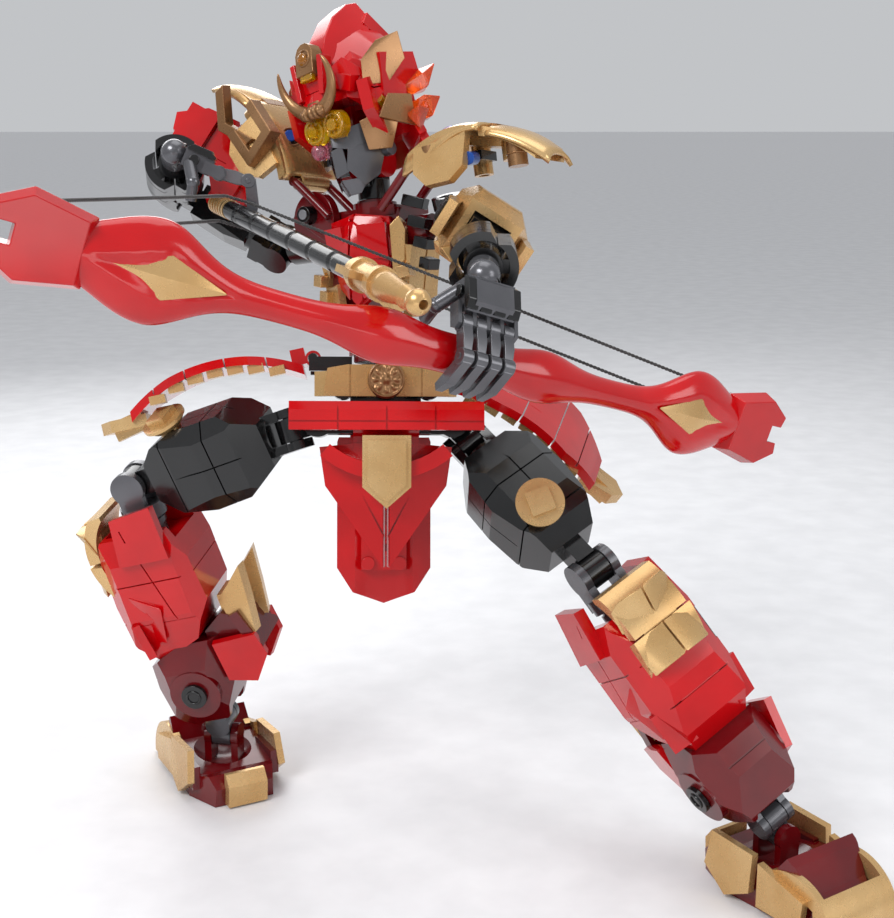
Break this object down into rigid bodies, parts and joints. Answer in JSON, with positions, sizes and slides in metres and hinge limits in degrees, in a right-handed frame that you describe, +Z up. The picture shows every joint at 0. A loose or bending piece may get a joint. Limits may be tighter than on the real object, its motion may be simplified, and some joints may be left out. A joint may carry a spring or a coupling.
{
  "type": "jointed action figure",
  "caption": "Brick-built armoured samurai archer figure, kneeling in a wide stance with a drawn bow and arrow; head, limbs, hands and skirts all turn on click hinges.",
  "frame": {"origin": "centre of the footprint of the bounding box, on the surface the soles stand on", "axes": "+Z up; -Y towards the viewer, the side the figure faces; +X to the viewer's right, the side of the bow arm"},
  "size_m": [0.2701, 0.215, 0.2845],
  "materials": {
    "red_abs": "gloss moulded ABS, bright red",
    "dark_red_abs": "gloss moulded ABS, dark red",
    "pearl_gold_abs": "pearlescent moulded ABS, warm gold",
    "black_abs": "gloss moulded ABS, black",
    "steel_grey_abs": "pearlescent moulded ABS, dark steel grey",
    "amber_clear": "clear moulded polycarbonate, amber",
    "braided_cord": "braided polyester cord"
  },
  "bodies": {
    "pelvis": {"hip_block": "black_abs", "belt": "pearl_gold_abs", "front_beam": "red_abs"},
    "front_skirt": {"front_skirt": "red_abs", "front_badge": "pearl_gold_abs"},
    "rear_skirt": {"rear_skirt": "red_abs"},
    "abdomen": {"abdomen": "dark_red_abs"},
    "torso": {"torso_core": "dark_red_abs", "chest_plate": "red_abs", "rib_plates": "pearl_gold_abs"},
    "neck": {"neck_post": "black_abs"},
    "head": {"helmet": "red_abs", "horns": "pearl_gold_abs", "face_mask": "steel_grey_abs", "lamps": "amber_clear"},
    "bow": {"bow_limbs": "red_abs", "bow_gems": "pearl_gold_abs", "bow_string": "braided_cord"},
    "arrow": {"arrow_shaft": "black_abs", "arrow_head": "pearl_gold_abs"},
    "side_skirt_r": {"side_skirt_r": "red_abs", "side_skirt_trim_r": "pearl_gold_abs"},
    "shoulder_r": {"shoulder_hub_r": "black_abs"},
    "guard_r": {"shoulder_guard_r": "pearl_gold_abs"},
    "upper_arm_r": {"upper_arm_r": "black_abs", "arm_guard_r": "red_abs"},
    "forearm_r": {"forearm_r": "black_abs"},
    "hand_r": {"hand_r": "steel_grey_abs"},
    "fingers_r": {"fingers_r": "steel_grey_abs"},
    "hip_r": {"hip_hub_r": "black_abs"},
    "thigh_r": {"thigh_r": "black_abs", "thigh_disc_r": "pearl_gold_abs"},
    "shin_r": {"knee_joint_r": "steel_grey_abs", "shin_guard_r": "red_abs", "knee_plate_r": "pearl_gold_abs", "calf_r": "dark_red_abs"},
    "ankle_r": {"ankle_cross_r": "steel_grey_abs"},
    "foot_r": {"foot_r": "dark_red_abs", "toe_armor_r": "pearl_gold_abs"},
    "side_skirt_l": {"side_skirt_l": "red_abs", "side_skirt_trim_l": "pearl_gold_abs"},
    "shoulder_l": {"shoulder_hub_l": "black_abs"},
    "guard_l": {"shoulder_guard_l": "pearl_gold_abs"},
    "upper_arm_l": {"upper_arm_l": "black_abs", "arm_guard_l": "pearl_gold_abs"},
    "forearm_l": {"forearm_l": "black_abs"},
    "hand_l": {"hand_l": "steel_grey_abs"},
    "fingers_l": {"fingers_l": "steel_grey_abs"},
    "hip_l": {"hip_hub_l": "black_abs"},
    "thigh_l": {"thigh_l": "black_abs", "thigh_disc_l": "pearl_gold_abs"},
    "shin_l": {"knee_joint_l": "steel_grey_abs", "shin_guard_l": "red_abs", "knee_plate_l": "pearl_gold_abs", "calf_l": "dark_red_abs"},
    "ankle_l": {"ankle_cross_l": "steel_grey_abs"},
    "foot_l": {"foot_l": "dark_red_abs", "toe_armor_l": "pearl_gold_abs"}
  },
  "joints": [
    {"name": "waist_turn", "type": "hinge", "parent": "pelvis", "child": "abdomen", "pos_m": [-0.02743, 0.04978, 0.16359], "axis": [0.0042, 0.2425, 0.9701], "range_deg": [-20, 20]},
    {"name": "torso_bend", "type": "hinge", "parent": "abdomen", "child": "torso", "pos_m": [-0.0274, 0.05172, 0.17135], "axis": [0.8207, -0.5552, 0.1352], "range_deg": [-10, 10]},
    {"name": "neck_turn", "type": "hinge", "parent": "torso", "child": "neck", "pos_m": [-0.03075, 0.05977, 0.21855], "axis": [-0.0698, 0.1677, 0.9834], "range_deg": [-40, 2]},
    {"name": "head_nod", "type": "hinge", "parent": "neck", "child": "head", "pos_m": [-0.03159, 0.06178, 0.23035], "axis": [0.7556, -0.6347, 0.1618], "range_deg": [-10, 10]},
    {"name": "shoulder_swing_r", "type": "hinge", "parent": "torso", "child": "shoulder_r", "pos_m": [-0.05614, 0.07543, 0.20188], "axis": [0.8196, -0.5523, 0.1524], "range_deg": [-3, 3]},
    {"name": "shoulder_spread_r", "type": "hinge", "parent": "shoulder_r", "child": "upper_arm_r", "pos_m": [-0.06515, 0.08151, 0.2002], "axis": [-0.4052, -0.7467, -0.5275], "range_deg": [-2, 2]},
    {"name": "elbow_r", "type": "hinge", "parent": "upper_arm_r", "child": "forearm_r", "pos_m": [-0.10348, 0.08766, 0.22093], "axis": [-0.4882, -0.354, -0.7977], "range_deg": [-5, 1]},
    {"name": "wrist_turn_r", "type": "hinge", "parent": "forearm_r", "child": "hand_r", "pos_m": [-0.0964, 0.04652, 0.23485], "axis": [-0.1609, 0.9349, -0.3164], "range_deg": [-10, 3]},
    {"name": "finger_curl_r", "type": "hinge", "parent": "hand_r", "child": "fingers_r", "pos_m": [-0.08192, 0.04791, 0.22817], "axis": [0.1205, -0.9912, 0.0555], "range_deg": [-6, 45]},
    {"name": "guard_lift_r", "type": "hinge", "parent": "torso", "child": "guard_r", "pos_m": [-0.05357, 0.07263, 0.22389], "axis": [0.5687, 0.8166, -0.0988], "range_deg": [0, 6]},
    {"name": "hip_spread_r", "type": "hinge", "parent": "pelvis", "child": "hip_r", "pos_m": [-0.05048, 0.04373, 0.14459], "axis": [-0.055, 0.9687, -0.2419], "range_deg": [-30, 0]},
    {"name": "hip_swing_r", "type": "hinge", "parent": "hip_r", "child": "thigh_r", "pos_m": [-0.05904, 0.0426, 0.14204], "axis": [0.3045, -0.2144, -0.9281], "range_deg": [-30, 0]},
    {"name": "knee_r", "type": "hinge", "parent": "thigh_r", "child": "shin_r", "pos_m": [-0.11743, 0.05631, 0.11971], "axis": [-0.1726, -0.974, -0.1466], "range_deg": [-45, 15]},
    {"name": "ankle_pitch_r", "type": "hinge", "parent": "shin_r", "child": "ankle_r", "pos_m": [-0.0906, 0.06567, 0.02592], "axis": [-0.1726, -0.974, -0.1466], "range_deg": [-15, 12]},
    {"name": "ankle_roll_r", "type": "hinge", "parent": "ankle_r", "child": "foot_r", "pos_m": [-0.09042, 0.06668, 0.019], "axis": [0.9847, -0.1745, 0], "range_deg": [-12, 8]},
    {"name": "side_skirt_lift_r", "type": "hinge", "parent": "pelvis", "child": "side_skirt_r", "pos_m": [-0.05337, 0.06649, 0.162], "axis": [-0.055, 0.9687, -0.2419], "range_deg": [0, 30]},
    {"name": "shoulder_swing_l", "type": "hinge", "parent": "torso", "child": "shoulder_l", "pos_m": [-0.00368, 0.04008, 0.21163], "axis": [0.8196, -0.5523, 0.1524], "range_deg": [-3, 20]},
    {"name": "shoulder_spread_l", "type": "hinge", "parent": "shoulder_l", "child": "upper_arm_l", "pos_m": [0.00533, 0.034, 0.2133], "axis": [0.2421, 0.0929, -0.9658], "range_deg": [-25, 0]},
    {"name": "elbow_l", "type": "hinge", "parent": "upper_arm_l", "child": "forearm_l", "pos_m": [0.00357, -0.00971, 0.20866], "axis": [-0.8476, -0.0223, 0.5302], "range_deg": [0, 45]},
    {"name": "wrist_turn_l", "type": "hinge", "parent": "forearm_l", "child": "hand_l", "pos_m": [0.00263, -0.05358, 0.20531], "axis": [0.0214, 0.9969, 0.0762], "range_deg": [-25, 0]},
    {"name": "finger_curl_l", "type": "hinge", "parent": "hand_l", "child": "fingers_l", "pos_m": [0.00262, -0.06235, 0.19193], "axis": [-0.8429, -0.4495, 0.2957], "range_deg": [-6, 45]},
    {"name": "guard_lift_l", "type": "hinge", "parent": "torso", "child": "guard_l", "pos_m": [-0.01259, 0.04502, 0.23151], "axis": [0.5687, 0.8166, -0.0988], "range_deg": [-24, 10]},
    {"name": "hip_spread_l", "type": "hinge", "parent": "pelvis", "child": "hip_l", "pos_m": [-0.00455, 0.04613, 0.14379], "axis": [-0.055, 0.9687, -0.2419], "range_deg": [-12, 15]},
    {"name": "hip_swing_l", "type": "hinge", "parent": "hip_l", "child": "thigh_l", "pos_m": [0.00143, 0.04483, 0.13719], "axis": [0.7449, 0.2011, 0.6362], "range_deg": [-18, 30]},
    {"name": "knee_l", "type": "hinge", "parent": "thigh_l", "child": "shin_l", "pos_m": [0.04149, 0.0102, 0.10124], "axis": [0.7798, 0.4436, 0.4416], "range_deg": [-15, 45]},
    {"name": "ankle_pitch_l", "type": "hinge", "parent": "shin_l", "child": "ankle_l", "pos_m": [0.09839, -0.01421, 0.02528], "axis": [0.7798, 0.4436, 0.4416], "range_deg": [-15, 12]},
    {"name": "ankle_roll_l", "type": "hinge", "parent": "ankle_l", "child": "foot_l", "pos_m": [0.10108, -0.01268, 0.019], "axis": [-0.4945, 0.8692, 0], "range_deg": [-12, 8]},
    {"name": "side_skirt_lift_l", "type": "hinge", "parent": "pelvis", "child": "side_skirt_l", "pos_m": [-0.00345, 0.06911, 0.16113], "axis": [-0.055, 0.9687, -0.2419], "range_deg": [-30, 4]},
    {"name": "front_skirt_lift", "type": "hinge", "parent": "pelvis", "child": "front_skirt", "pos_m": [-0.0267, 0.02967, 0.14491], "axis": [0.9985, 0.0523, -0.0175], "range_deg": [-6, 30]},
    {"name": "rear_skirt_lift", "type": "hinge", "parent": "pelvis", "child": "rear_skirt", "pos_m": [-0.02834, 0.06014, 0.14245], "axis": [0.9985, 0.0523, -0.0175], "range_deg": [-15, 35]},
    {"name": "bow_turn", "type": "hinge", "parent": "hand_l", "child": "bow", "pos_m": [-0.00223, -0.05875, 0.18359], "axis": [-0.8429, -0.4495, 0.2957], "range_deg": [0, 18]},
    {"name": "arrow_slide", "type": "slide", "parent": "bow", "child": "arrow", "axis": [0.4403, -0.8922, -0.101], "range_m": [-0.01, 0.03]}
  ]
}
